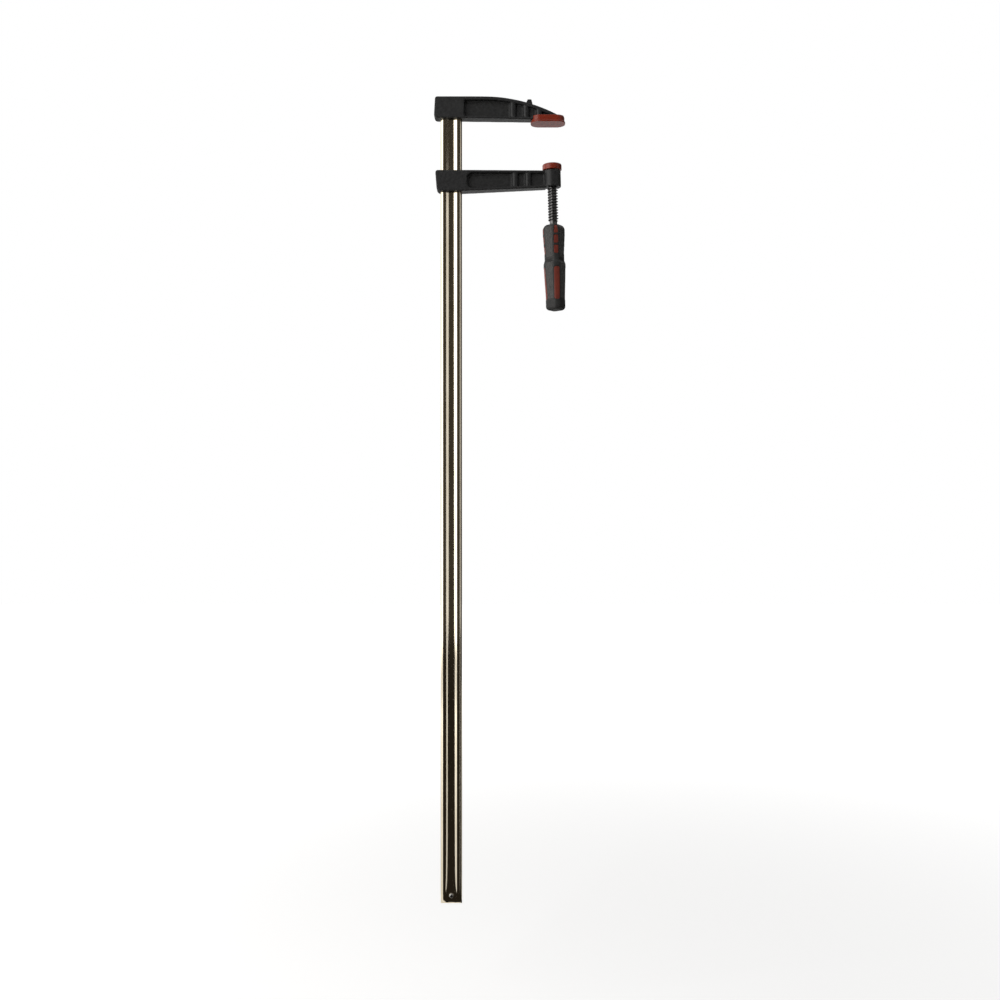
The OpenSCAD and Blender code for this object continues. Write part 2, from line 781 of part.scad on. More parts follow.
// Radius of the core's body at a depth below the handle's top
function core_radius(depth) = lookup(depth, handle_line) - core_inset;

module handle_core() {
    color([0.55, 0.16, 0.12])
        on_screw()
            difference() {
                translate([0, 0, handle_top]) {
                    core_body(0);
                    intersection() {
                        handle_form(window_depth);
                        windows(window_fit);
                        translate([0, 0, -core_low])
                            cylinder(h = core_low - grip_top_t, d = handle_d);
                    }
                }
                tang(seat_fit);
            }
}

module handle_grip() {
    color([0.2, 0.2, 0.19])
        on_screw()
            difference() {
                translate([0, 0, handle_top])
                    difference() {
                        handle_form(0);
                        core_body(seat_fit);
                        windows(0);
                    }
                tang(seat_fit);
            }
}

rail();
end_stop_pin();
fixed_jaw();
jaw_cover();
sliding_arm();
spindle();
plate_ring();
pressure_plate();
plate_cover();
handle_core();
handle_grip();
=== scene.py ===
import json
import math

import bmesh
import bpy
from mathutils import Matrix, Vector


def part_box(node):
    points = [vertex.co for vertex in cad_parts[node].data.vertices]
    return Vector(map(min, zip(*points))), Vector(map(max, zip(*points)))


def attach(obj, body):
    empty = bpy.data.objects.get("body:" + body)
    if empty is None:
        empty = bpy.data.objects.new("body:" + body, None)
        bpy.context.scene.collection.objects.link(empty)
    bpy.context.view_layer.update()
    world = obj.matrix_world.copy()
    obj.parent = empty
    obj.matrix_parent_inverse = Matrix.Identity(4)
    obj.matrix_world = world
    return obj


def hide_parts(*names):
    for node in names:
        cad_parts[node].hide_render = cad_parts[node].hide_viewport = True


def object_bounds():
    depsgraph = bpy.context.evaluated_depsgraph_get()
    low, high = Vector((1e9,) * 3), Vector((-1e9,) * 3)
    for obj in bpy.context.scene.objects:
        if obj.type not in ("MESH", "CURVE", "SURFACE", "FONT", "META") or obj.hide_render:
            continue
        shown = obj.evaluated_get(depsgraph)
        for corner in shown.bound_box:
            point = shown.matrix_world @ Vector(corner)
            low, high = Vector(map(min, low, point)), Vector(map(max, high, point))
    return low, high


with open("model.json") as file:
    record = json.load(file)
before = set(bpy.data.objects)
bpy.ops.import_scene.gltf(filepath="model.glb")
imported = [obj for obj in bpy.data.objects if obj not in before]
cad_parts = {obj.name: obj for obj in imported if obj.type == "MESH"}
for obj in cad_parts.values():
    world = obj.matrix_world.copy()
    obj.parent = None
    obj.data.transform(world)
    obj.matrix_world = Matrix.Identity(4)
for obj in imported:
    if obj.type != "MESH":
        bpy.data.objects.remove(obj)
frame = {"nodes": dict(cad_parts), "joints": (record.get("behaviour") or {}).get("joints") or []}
cadLow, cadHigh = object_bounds()

mm = 0.001
weld = 0.000002  # points nearer than this become one
handleTop = -135.7  # along the screw, in mm
joints = {joint["name"]: joint for joint in frame["joints"]}
screwAxis = joints["screw_turn"]["axis"]
screwLean = math.atan2(-screwAxis[0], screwAxis[2])  # lower end away from the rail


# Small helpers, as one would work by hand

def deselectAll():
    if bpy.context.mode != "OBJECT":
        bpy.ops.object.mode_set(mode="OBJECT")
    bpy.ops.object.select_all(action="DESELECT")


def takeUp(piece):
    deselectAll()
    piece.select_set(True)
    bpy.context.view_layer.objects.active = piece
    return piece


def settlePlace():
    bpy.ops.object.transform_apply(location=True, rotation=True, scale=True)


def joinUp(pieces):
    takeUp(pieces[0])
    for piece in pieces[1:]:
        piece.select_set(True)
    bpy.ops.object.join()
    return pieces[0]


def editMesh(piece):
    takeUp(piece)
    bpy.ops.object.mode_set(mode="EDIT")
    bpy.ops.mesh.select_all(action="SELECT")


def pick(piece, kind, test):
    bpy.ops.mesh.select_mode(type=kind)
    bpy.ops.mesh.select_all(action="DESELECT")
    bm = bmesh.from_edit_mesh(piece.data)
    for item in {"EDGE": bm.edges, "FACE": bm.faces}[kind]:
        item.select_set(bool(test(item)))
    bm.select_flush_mode()
    bmesh.update_edit_mesh(piece.data)


def tidyMesh():
    bpy.ops.mesh.select_mode(type="VERT")
    bpy.ops.mesh.select_all(action="SELECT")
    bpy.ops.mesh.remove_doubles(threshold=weld)
    bpy.ops.mesh.normals_make_consistent(inside=False)
    bpy.ops.object.mode_set(mode="OBJECT")


def addBox(name, low, high):
    deselectAll()
    low, high = Vector(low), Vector(high)
    bpy.ops.mesh.primitive_cube_add(size=1, location=(low + high) / 2, scale=high - low)
    box = bpy.context.object
    box.name = name
    settlePlace()
    return box


def addRod(name, foot, length, radius, sides=48):
    deselectAll()
    middle = Vector(foot) + Vector((0, 0, length / 2))
    bpy.ops.mesh.primitive_cylinder_add(vertices=sides, radius=radius, depth=length, location=middle)
    rod = bpy.context.object
    rod.name = name
    settlePlace()
    return rod


# One point is pulled along the outline, corner by corner
def drawLine(name, points):
    deselectAll()
    points = [Vector(p) for p in points]
    bpy.ops.mesh.primitive_plane_add(size=mm, location=points[0])
    line = bpy.context.object
    line.name = name
    settlePlace()
    bpy.ops.object.mode_set(mode="EDIT")
    bpy.ops.mesh.select_mode(type="VERT")
    bpy.ops.mesh.select_all(action="SELECT")
    bpy.ops.mesh.merge(type="CENTER")
    for here, there in zip(points, points[1:]):
        bpy.ops.mesh.extrude_region_move(TRANSFORM_OT_translate={"value": there - here})
    bpy.ops.mesh.select_all(action="SELECT")
    return line


def drawSolid(name, points, depth):
    solid = drawLine(name, points)
    bpy.ops.mesh.edge_face_add()
    bpy.ops.mesh.extrude_region_move(TRANSFORM_OT_translate={"value": depth})
    tidyMesh()
    return solid


def sideSolid(name, outline, nearY, farY):
    points = [(x * mm, nearY * mm, z * mm) for x, z in outline]
    return drawSolid(name, points, (0, (farY - nearY) * mm, 0))


def planSolid(name, outline, lowZ, highZ):
    points = [(x * mm, y * mm, lowZ * mm) for x, y in outline]
    return drawSolid(name, points, (0, 0, (highZ - lowZ) * mm))


# A line of (radius, height) turned about Z
def turnSolid(name, line, steps):
    solid = drawLine(name, [(r * mm, 0, h * mm) for r, h in line])
    bpy.ops.mesh.spin(steps=steps, angle=2 * math.pi, center=(0, 0, 0), axis=(0, 0, 1))
    tidyMesh()
    return solid


def useModifier(piece, kind, **values):
    takeUp(piece)
    modifier = piece.modifiers.new(kind.title(), kind)
    for key, value in values.items():
        setattr(modifier, key, value)
    bpy.ops.object.modifier_apply(modifier=modifier.name)


def combine(piece, other, how):
    useModifier(piece, "BOOLEAN", object=other, operation=how, solver="MANIFOLD")
    bpy.data.objects.remove(other)
    return piece


# Pieces made upright are set on the screw's leaning axis
def leanOver(piece):
    takeUp(piece)
    piece.rotation_euler = (0, -screwLean, 0)
    settlePlace()
    return piece


def arc(centre, radius, start, end, steps=6):
    turns = [math.radians(start + (end - start) * k / steps) for k in range(steps + 1)]
    return [(centre[0] + radius * math.cos(a), centre[1] + radius * math.sin(a)) for a in turns]


def ease(a, b, t):
    return a + (b - a) * (1 - math.cos(math.pi * t)) / 2


# A corner of an outline, rounded off
def fillet(before, corner, after, radius, steps=6):
    before, corner, after = Vector(before), Vector(corner), Vector(after)
    inward, outward = (before - corner).normalized(), (after - corner).normalized()
    half = inward.angle(outward) / 2
    middle = corner + (inward + outward).normalized() * radius / math.sin(half)
    start, end = (corner + way * radius / math.tan(half) - middle for way in (inward, outward))
    return [tuple(middle + start.lerp(end, k / steps).normalized() * radius) for k in range(steps + 1)]


def smoothShade(piece, angle):
    takeUp(piece)
    bpy.ops.object.shade_smooth_by_angle(angle=math.radians(angle))


def handOver(piece, body, node, material):
    piece.data.materials.clear()
    piece.data.materials.append(material)
    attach(piece, body)
    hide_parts(node)
    print(piece.name, "done,", len(piece.data.polygons), "faces")


# Finishes

def newFinish(name, **sockets):
    finish = bpy.data.materials.new(name)
    finish.use_nodes = True
    shader = finish.node_tree.nodes["Principled BSDF"]
    for socket, value in sockets.items():
        shader.inputs[socket.replace("_", " ")].default_value = value
    return finish, shader


def addNode(finish, kind, **values):
    node = finish.node_tree.nodes.new("ShaderNode" + kind)
    for key, value in values.items():
        if hasattr(node, key):
            setattr(node, key, value)
        else:
            node.inputs[key.replace("_", " ")].default_value = value
    return node


def join(finish, start, end):
    finish.node_tree.links.new(start, end)


# The piece's own coordinates, stretched or turned as the pattern needs
def patternPlace(finish, scale=(1, 1, 1), turn=(0, 0, 0)):
    place = addNode(finish, "TexCoord")
    mapping = addNode(finish, "Mapping", Scale=scale, Rotation=turn)
    join(finish, place.outputs["Object"], mapping.inputs["Vector"])
    return mapping.outputs["Vector"]


def noiseAt(finish, place, scale, detail, roughness=0.55):
    noise = addNode(finish, "TexNoise", Scale=scale, Detail=detail, Roughness=roughness)
    join(finish, place, noise.inputs["Vector"])
    return noise.outputs["Fac"]


def shadeBetween(finish, factor, dark, light, low=0.35, high=0.65):
    ramp = addNode(finish, "ValToRGB")
    ramp.color_ramp.elements[0].position = low
    ramp.color_ramp.elements[0].color = (*dark, 1)
    ramp.color_ramp.elements[1].position = high
    ramp.color_ramp.elements[1].color = (*light, 1)
    join(finish, factor, ramp.inputs["Fac"])
    return ramp.outputs["Color"]


def spread(finish, factor, low, high):
    span = addNode(finish, "MapRange", To_Min=low, To_Max=high)
    join(finish, factor, span.inputs["Value"])
    return span.outputs["Result"]


def combineValues(finish, how, first, second):
    maths = addNode(finish, "Math", operation=how)
    for socket, value in zip(maths.inputs, (first, second)):
        if isinstance(value, (int, float)):
            socket.default_value = value
        else:
            join(finish, value, socket)
    return maths.outputs["Value"]


# First times a share, plus second
def weigh(finish, first, share, second):
    height = combineValues(finish, "MULTIPLY_ADD", first, share)
    join(finish, second, height.node.inputs[2])
    return height


def paint(finish, shader, factor, look, **span):
    tone = shadeBetween(finish, factor, look["dark"], look["light"], **span)
    join(finish, tone, shader.inputs["Base Color"])


def polish(finish, shader, factor, look):
    join(finish, spread(finish, factor, *look["roughness"]), shader.inputs["Roughness"])


def roughen(finish, shader, height, look):
    bump = addNode(finish, "Bump", Strength=look["strength"], Distance=look["depth"])
    join(finish, height, bump.inputs["Height"])
    join(finish, bump.outputs["Normal"], shader.inputs["Normal"])


wideSpan = {"low": 0.3, "high": 0.7}  # how far the noise runs from dark to light
castLook = {"dark": (0.009, 0.009, 0.0093), "light": (0.018, 0.018, 0.0184), "roughness": (0.38, 0.56),
            "lumps": 260, "grain": 1300, "grainShare": 0.6, "depth": 0.0004, "strength": 0.6,
            "specular": 0.28}


def castBlackFinish():
    c = castLook
    finish, shader = newFinish("cast black enamel", Specular_IOR_Level=c["specular"])
    place = patternPlace(finish)
    lumps = noiseAt(finish, place, c["lumps"], detail=2.0)
    grain = noiseAt(finish, place, c["grain"], detail=3.0, roughness=0.6)
    paint(finish, shader, lumps, c)
    polish(finish, shader, grain, c)
    roughen(finish, shader, weigh(finish, grain, c["grainShare"], lumps), c)
    return finish


railLook = {"dark": (0.60, 0.525, 0.395), "light": (0.74, 0.67, 0.535), "roughness": (0.06, 0.13),
            "lines": (1400, 1400, 5), "smears": 45, "smearStretch": (1, 1, 0.35), "waves": (70, 70, 9),
            "waveShare": 12.0, "depth": 0.00001, "strength": 0.03}


# Fine lines drawn along the bar, smears of colour, and slight waves left by the rolling
def railFinish():
    r = railLook
    finish, shader = newFinish("drawn rail steel", Metallic=1.0)
    lines = noiseAt(finish, patternPlace(finish, r["lines"]), 1.0, detail=4.0)
    smears = noiseAt(finish, patternPlace(finish, r["smearStretch"]), r["smears"], detail=3.0)
    waves = noiseAt(finish, patternPlace(finish, r["waves"]), 1.0, detail=1.0)
    paint(finish, shader, smears, r, **wideSpan)
    polish(finish, shader, lines, r)
    roughen(finish, shader, weigh(finish, waves, r["waveShare"], lines), r)
    return finish


steelLook = {"dark": (0.20, 0.195, 0.185), "light": (0.31, 0.305, 0.29), "roughness": (0.14, 0.28),
             "marks": 700, "depth": 0.00008, "strength": 0.25}


def plainSteelFinish():
    finish, shader = newFinish("plain steel", Metallic=1.0)
    marks = noiseAt(finish, patternPlace(finish), steelLook["marks"], detail=4.0)
    paint(finish, shader, marks, steelLook)
    polish(finish, shader, marks, steelLook)
    roughen(finish, shader, marks, steelLook)
    return finish


coverLook = {"dark": (0.195, 0.0165, 0.0022), "light": (0.245, 0.0215, 0.0036), "roughness": (0.34, 0.46),
             "flow": 90, "spark": 2600, "depth": 0.00006, "strength": 0.18, "specular": 0.39}
coreLook = {"dark": (0.145, 0.020, 0.010), "light": (0.185, 0.027, 0.013), "roughness": (0.42, 0.58),
            "flow": 120, "spark": 2400, "depth": 0.00008, "strength": 0.2, "specular": 0.4}


# Moulded plastic: the colour flows a little, and a fine grain breaks up the shine
def mouldedRedFinish(name, look):
    finish, shader = newFinish(name, Specular_IOR_Level=look["specular"])
    place = patternPlace(finish)
    flow = noiseAt(finish, place, look["flow"], detail=3.0)
    spark = noiseAt(finish, place, look["spark"], detail=2.0)
    paint(finish, shader, flow, look, **wideSpan)
    polish(finish, shader, spark, look)
    roughen(finish, shader, spark, look)
    return finish


screwLook = {"dark": (0.050, 0.050, 0.051), "light": (0.135, 0.132, 0.130), "roughness": (0.22, 0.40),
             "film": 420, "pits": 2600, "strength": 0.25, "depth": 0.00005}


def blackScrewFinish():
    finish, shader = newFinish("blackened screw steel", Metallic=1.0)
    place = patternPlace(finish)
    film = noiseAt(finish, place, screwLook["film"], detail=3.0)
    pits = noiseAt(finish, place, screwLook["pits"], detail=2.0)
    paint(finish, shader, film, screwLook)
    polish(finish, shader, film, screwLook)
    roughen(finish, shader, pits, screwLook)
    return finish


gripLook = {"smooth": (0.018, 0.0178, 0.017), "dark": (0.046, 0.045, 0.043), "light": (0.070, 0.0685, 0.066),
            "roughness": (0.56, 0.74), "cells": 560, "tone": 160, "depth": 0.0008, "strength": 0.8,
            "grainSpan": (0.12, 1.0), "firstCorner": -81.0, "cornerStep": 90.0, "stripEdge": (20.0, 25.0),
            "panels": ((4.5, 45.0), (52.0, 101.0)), "panelEdge": 1.2, "softSheen": 0.03,
            "sheenRoughness": 0.5, "specular": 0.34}


# From 0 to 1 between two values, with soft ends
def softStep(finish, factor, start, end):
    step = addNode(finish, "MapRange", interpolation_type="SMOOTHSTEP", From_Min=start, From_Max=end)
    join(finish, factor, step.inputs["Value"])
    return step.outputs["Result"]


# 1 inside a range of heights
def heightBand(finish, height, low, high, edge):
    rise, fall = (softStep(finish, height, at - edge, at + edge) for at in (low, high))
    return combineValues(finish, "SUBTRACT", rise, fall)


# Fine grained panels on the flats, smooth strips along the corners and smooth bands at the ends
def gripPanels(finish):
    g = gripLook
    upright = addNode(finish, "SeparateXYZ")
    join(finish, patternPlace(finish, turn=(0, screwLean, 0)), upright.inputs["Vector"])
    turn = combineValues(finish, "ARCTAN2", upright.outputs["Y"], upright.outputs["X"])
    fromFirst = combineValues(finish, "SUBTRACT", turn, math.radians(g["firstCorner"]))
    fromCorner = combineValues(finish, "PINGPONG", fromFirst, math.radians(g["cornerStep"] / 2))
    flats = softStep(finish, fromCorner, *(math.radians(edge) for edge in g["stripEdge"]))
    bands = [heightBand(finish, upright.outputs["Z"], (handleTop - end) * mm, (handleTop - start) * mm,
                        g["panelEdge"] * mm) for start, end in g["panels"]]
    return combineValues(finish, "MULTIPLY", flats, combineValues(finish, "ADD", *bands))


def greyGripFinish():
    g = gripLook
    finish, shader = newFinish("soft grey grip", Sheen_Weight=g["softSheen"],
                               Sheen_Roughness=g["sheenRoughness"], Specular_IOR_Level=g["specular"])
    place = patternPlace(finish)
    panels = gripPanels(finish)
    tone = noiseAt(finish, place, g["tone"], detail=3.0)
    cells = addNode(finish, "TexVoronoi", Scale=g["cells"], feature="F1")
    join(finish, place, cells.inputs["Vector"])
    blend = addNode(finish, "Mix", data_type="RGBA")
    blend.inputs[6].default_value = (*g["smooth"], 1)
    join(finish, panels, blend.inputs[0])
    join(finish, shadeBetween(finish, tone, g["dark"], g["light"], **wideSpan), blend.inputs[7])
    join(finish, blend.outputs[2], shader.inputs["Base Color"])
    polish(finish, shader, cells.outputs["Distance"], g)
    share = spread(finish, panels, *g["grainSpan"])
    roughen(finish, shader, combineValues(finish, "MULTIPLY", cells.outputs["Distance"], share), g)
    return finish


castBlack = castBlackFinish()
railSteel = railFinish()
plainSteel = plainSteelFinish()
redCover = mouldedRedFinish("moulded red cover", coverLook)
redHandle = mouldedRedFinish("moulded red handle", coreLook)
blackScrew = blackScrewFinish()
greyGrip = greyGripFinish()
print("finishes mixed")


# Rail: a rolled bar with hollow grooves, round noses and a bevelled lower end, and its riveted stop

railCut = {"groove": 15.1, "depth": 1.5, "hollowSteps": 14, "landEnd": 11.2, "noseTilt": 16.0,
           "noseRound": 1.2, "bendSteps": 3, "noseSteps": 16, "endHeight": 3.4, "endDepth": 1.8, "smooth": 12}


# A quarter of the section from the middle of the groove to the tip of the nose
def quarterSection(halfWidth, face):
    r = railCut
    half, steps = r["groove"] / 2, r["hollowSteps"]
    hollow = [(half * k / steps, face - r["depth"] * (1 - (k / steps) ** 2)) for k in range(steps + 1)]
    reach = halfWidth - r["landEnd"]
    tilt = math.tan(math.radians(r["noseTilt"])) * reach / face
    start = math.asin(tilt / (1 - tilt))  # the nose is part of an ellipse, tilted where it leaves the land
    long, high = reach / (1 - math.sin(start)), face / math.cos(start)
    turns = [start + (math.pi / 2 - start) * k / r["noseSteps"] for k in range(1, r["noseSteps"] + 1)]
    nose = [(halfWidth - long * (1 - math.sin(a)), high * math.cos(a)) for a in turns]
    bend = fillet((half, face), (r["landEnd"], face), nose[0], r["noseRound"], r["bendSteps"])
    return hollow + bend + nose


def makeRail():
    low, high = (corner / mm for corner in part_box("rail"))
    middle, face = (low.x + high.x) / 2, high.y
    quarter = quarterSection((high.x - low.x) / 2, face)
    front = [(-x, -y) for x, y in reversed(quarter[1:])] + [(x, -y) for x, y in quarter]
    back = [(-x, -y) for x, y in front[1:-1]]
    rail = planSolid("rail_bar", [(middle + x, y) for x, y in front + back], low.z, high.z)
    editMesh(rail)
    for side in (-1, 1):
        bpy.ops.mesh.select_all(action="SELECT")
        bpy.ops.mesh.bisect(plane_co=(0, side * (face - railCut["endDepth"]) * mm, low.z * mm),
                            plane_no=(0, side * railCut["endHeight"], -railCut["endDepth"]),
                            use_fill=True, clear_outer=True)
    tidyMesh()
    smoothShade(rail, railCut["smooth"])
    handOver(rail, "clamp_rail", "rail", railSteel)


stopPin = {"shank": 4.5, "head": 7.0, "height": 3.2, "crown": 2.4, "domeSteps": 9, "steps": 64, "smooth": 40}


def makeStopPin():
    low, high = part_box("end_stop_pin")
    half = high.y / mm
    seat = half - stopPin["height"]
    headR, crownR = stopPin["head"] / 2, stopPin["crown"] / 2
    turns = [math.pi / 2 * k / stopPin["domeSteps"] for k in range(stopPin["domeSteps"] + 1)]
    dome = [(crownR + (headR - crownR) * math.sin(a), half - stopPin["height"] * (1 - math.cos(a)))
            for a in turns]
    upper = [(0, half)] + dome + [(stopPin["shank"] / 2, seat)]
    pin = turnSolid("stop_rivet", upper + [(r, -h) for r, h in reversed(upper)], stopPin["steps"])
    takeUp(pin)
    pin.rotation_euler = (math.radians(90), 0, 0)
    pin.location = (low + high) / 2
    settlePlace()
    smoothShade(pin, stopPin["smooth"])
    handOver(pin, "clamp_rail", "end_stop_pin", plainSteel)


makeRail()
makeStopPin()


# Castings: sawn out as plain blocks, then melted a little so that edges and corners go round

castForm = {"collarWidth": 18.5, "tipWidth": 14.0, "webWidth": 6.0, "ribWidth": 9.0, "ribPitch": 17.6,
            "past": 2.0, "planSteps": 8, "voxel": 0.55, "passes": 9, "backEdge": 3.6, "backSteps": 5,
            "longEdge": 10.0, "slotRound": 4.0, "melt": 0.5, "smooth": 50}


def roundedPlan(middleX, length, width, radius):
    x, y = length / 2 - radius, width / 2 - radius
    return [p for k, (sx, sy) in enumerate(((1, 1), (-1, 1), (-1, -1), (1, -1)))
            for p in arc((middleX + sx * x, sy * y), radius, 90 * k, 90 * k + 90, castForm["planSteps"])]


def taperPlan(back, narrowFrom, out):
    collar, tip = castForm["collarWidth"] / 2, castForm["tipWidth"] / 2
    near = [(back, -collar), (narrowFrom, -collar), (out, -tip)]
    return near + [(x, -y) for x, y in reversed(near)]


# The long upright edges behind the rail are rounded off
def roundBack(casting, backX):
    def upright(edge):
        first, last = (v.co for v in edge.verts)
        behind = max(first.x, last.x) < backX * mm
        return behind and abs(first.y - last.y) < weld and abs(first.z - last.z) > castForm["longEdge"] * mm

    editMesh(casting)
    pick(casting, "EDGE", upright)
    bpy.ops.mesh.bevel(offset=castForm["backEdge"] * mm, segments=castForm["backSteps"], affect="EDGES")
    tidyMesh()


# Recesses on both sides of the web, with half-round ribs and what keep makes left standing in them
def cutRecesses(casting, outline, ribPlaces, lowZ, highZ, keep=None):
    web, deep = castForm["webWidth"] / 2, castForm["collarWidth"] / 2 + castForm["past"]
    for side in (-1, 1):
        cutter = sideSolid("recess", outline, side * web, side * deep)
        for x in ribPlaces:
            foot = (x * mm, side * web * mm, lowZ * mm)
            rib = addRod("rib", foot, (highZ - lowZ) * mm, castForm["ribWidth"] / 2 * mm)
            combine(cutter, rib, "DIFFERENCE")
        if keep:
            combine(cutter, keep(), "DIFFERENCE")
        combine(casting, cutter, "DIFFERENCE")


def meltEdges(piece, voxel, passes):
    useModifier(piece, "REMESH", mode="VOXEL", voxel_size=voxel * mm)
    useModifier(piece, "SMOOTH", factor=castForm["melt"], iterations=passes)


def railSlot(gap, lowZ, highZ):
    low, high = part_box("rail")
    middle, width, depth = (low.x + high.x) / 2 / mm, (high.x - low.x) / mm, (high.y - low.y) / mm
    plan = roundedPlan(middle, width + 2 * gap, depth + 2 * gap, castForm["slotRound"] + gap)
    return planSolid("rail slot", plan, lowZ, highZ)


fixedJaw = {"under": 6.2, "underDrop": 1.7, "footLow": 3.0, "backLean": 1.6, "topRound": 3.2, "lowRound": 4.6,
            "recessGap": 3.0, "railFit": 0.05, "arcRadius": 215.0, "arcStart": 30.0, "arcSteps": 24,
            "flangeTop": 4.4, "flangeLow": 2.6, "coverRim": 9.3, "footTop": 8.5, "footLength": 40.4,
            "footWidth": 21.7, "footRound": 8.85, "ribBack": 16.0, "ribs": 3, "lugBack": 29.0,
            "lugHeight": 6.5, "lugTop": 5.2, "lugIn": 3.8, "lugOut": 2.1, "lugWidth": 8.6}


def makeFixedJaw():
    j, past = fixedJaw, castForm["past"]
    low, high = (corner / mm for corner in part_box("fixed_jaw"))
    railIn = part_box("rail")[1].x / mm
    recessX, footBack = railIn + j["recessGap"], high.x - j["footLength"]
    underTip = j["under"] - j["underDrop"]
    arcMiddle = (railIn + j["arcStart"], high.z - j["arcRadius"])

    def arcDown(radius, toX=None, toZ=None):
        end = math.degrees(math.acos((toX - arcMiddle[0]) / radius) if toZ is None
                           else math.asin((toZ - arcMiddle[1]) / radius))
        return arc(arcMiddle, radius, 90, end, j["arcSteps"])

    backTop, backLow = (low.x + j["backLean"], high.z), (low.x, j["under"])
    outline = fillet(backLow, backTop, (railIn, high.z), j["topRound"])
    outline += arcDown(j["arcRadius"], toX=high.x)
    outline += [(high.x, underTip), (footBack, underTip), (railIn, j["under"])]
    outline += fillet((railIn, j["under"]), backLow, backTop, j["lowRound"])
    jaw = sideSolid("fixed_jaw_casting", outline, -castForm["collarWidth"] / 2, castForm["collarWidth"] / 2)
    roundBack(jaw, backTop[0] + past)
    combine(jaw, planSolid("taper", taperPlan(low.x, recessX, high.x), 0, high.z + past), "INTERSECT")
    length = high.x - low.x + j["footWidth"]
    tip = roundedPlan(high.x - length / 2, length, j["footWidth"], j["footRound"])
    combine(jaw, planSolid("tip", tip, 0, high.z + past), "INTERSECT")

    footPlan = roundedPlan(high.x - j["footLength"] / 2, j["footLength"], j["footWidth"], j["footRound"])
    foot = planSolid("foot", footPlan, j["footLow"], j["footTop"])
    under = [(low.x, 0), (low.x, high.z)] + arcDown(j["arcRadius"], toX=high.x) + [(high.x, 0)]
    combine(foot, sideSolid("under arc", under, -j["footWidth"], j["footWidth"]), "INTERSECT")
    combine(jaw, foot, "UNION")

    lugX, halfTop = -j["lugBack"], j["lugTop"] / 2
    lugLow = arcMiddle[1] + math.sqrt(j["arcRadius"] ** 2 - (lugX - arcMiddle[0]) ** 2)
    lug = [(lugX - halfTop - j["lugIn"], lugLow - past), (lugX - halfTop, lugLow + j["lugHeight"]),
           (lugX + halfTop, lugLow + j["lugHeight"]), (lugX + halfTop + j["lugOut"], lugLow - past)]
    combine(jaw, sideSolid("lug", lug, -j["lugWidth"] / 2, j["lugWidth"] / 2), "UNION")

    recess = [(recessX, high.z - j["flangeTop"])]
    recess += arcDown(j["arcRadius"] - j["flangeTop"], toZ=j["coverRim"])
    recess += [(footBack - past, j["coverRim"]), (footBack - past, underTip + j["flangeLow"]),
               (recessX, j["under"] + j["flangeLow"])]
    ribPlaces = [-j["ribBack"] - k * castForm["ribPitch"] for k in range(j["ribs"])]
    cutRecesses(jaw, recess, ribPlaces, 0, high.z)
    meltEdges(jaw, castForm["voxel"], castForm["passes"])
    combine(jaw, railSlot(j["railFit"], 0, high.z + past), "DIFFERENCE")
    smoothShade(jaw, castForm["smooth"])
    handOver(jaw, "clamp_rail", "fixed_jaw", castBlack)


makeFixedJaw()


jawCover = {"rim": 9.3, "endRim": 6.3, "fall": 10.0, "floor": 3.0, "wall": 2.0, "lip": 1.1, "lipHeight": 1.8,
            "round": 12.0, "notchLow": 4.45, "notchWidth": 16.4, "levelFace": 0.9, "voxel": 0.36, "passes": 5,
            "smooth": 60}


def makeJawCover():
    c, past = jawCover, castForm["past"]
    low, high = (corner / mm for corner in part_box("jaw_cover"))
    middle, length, width = (low.x + high.x) / 2, high.x - low.x, high.y - low.y
    cover = planSolid("jaw_cover_cap", roundedPlan(middle, length, width, c["round"]), low.z, c["lipHeight"])
    editMesh(cover)
    pick(cover, "FACE", lambda f: f.normal.z > c["levelFace"])
    bpy.ops.mesh.inset(thickness=c["lip"] * mm)
    rise = (0, 0, (c["rim"] - c["lipHeight"]) * mm)
    bpy.ops.mesh.extrude_region_move(TRANSFORM_OT_translate={"value": rise})
    bpy.ops.mesh.select_all(action="SELECT")
    bpy.ops.mesh.bisect(plane_co=(high.x * mm, 0, c["endRim"] * mm),
                        plane_no=(c["rim"] - c["endRim"], 0, c["fall"]), use_fill=True, clear_outer=True)
    tidyMesh()
    inset = 2 * (c["lip"] + c["wall"])
    pocket = roundedPlan(middle, length - inset, width - inset, c["round"] - inset / 2)
    combine(cover, planSolid("pocket", pocket, c["floor"], c["rim"] + past), "DIFFERENCE")
    notch = addBox("notch", ((low.x - past) * mm, -c["notchWidth"] / 2 * mm, c["notchLow"] * mm),
                   ((low.x + c["round"]) * mm, c["notchWidth"] / 2 * mm, (c["rim"] + past) * mm))
    combine(cover, notch, "DIFFERENCE")
    meltEdges(cover, c["voxel"], c["passes"])
    smoothShade(cover, c["smooth"])
    handOver(cover, "clamp_rail", "jaw_cover", redCover)


makeJawCover()


# Screw thread, shared by the screw and by the boss that it turns in

screwThread = {"outer": 13.8, "depth": 2.0, "pitch": 3.8, "flank": 0.3, "crest": 0.2, "steps": 48,
               "bossFit": 0.25, "flankFit": 0.2}


def threadLine(grow, widen):
    t = screwThread
    pitch, root = t["pitch"], t["outer"] / 2 - t["depth"] + grow
    flank, crest = t["flank"] * pitch, t["crest"] * pitch
    corners = [(-widen, 0), (flank - widen, 1), (flank + crest + widen, 1), (2 * flank + crest + widen, 0)]
    return [(root + share * t["depth"], h) for h, share in corners]


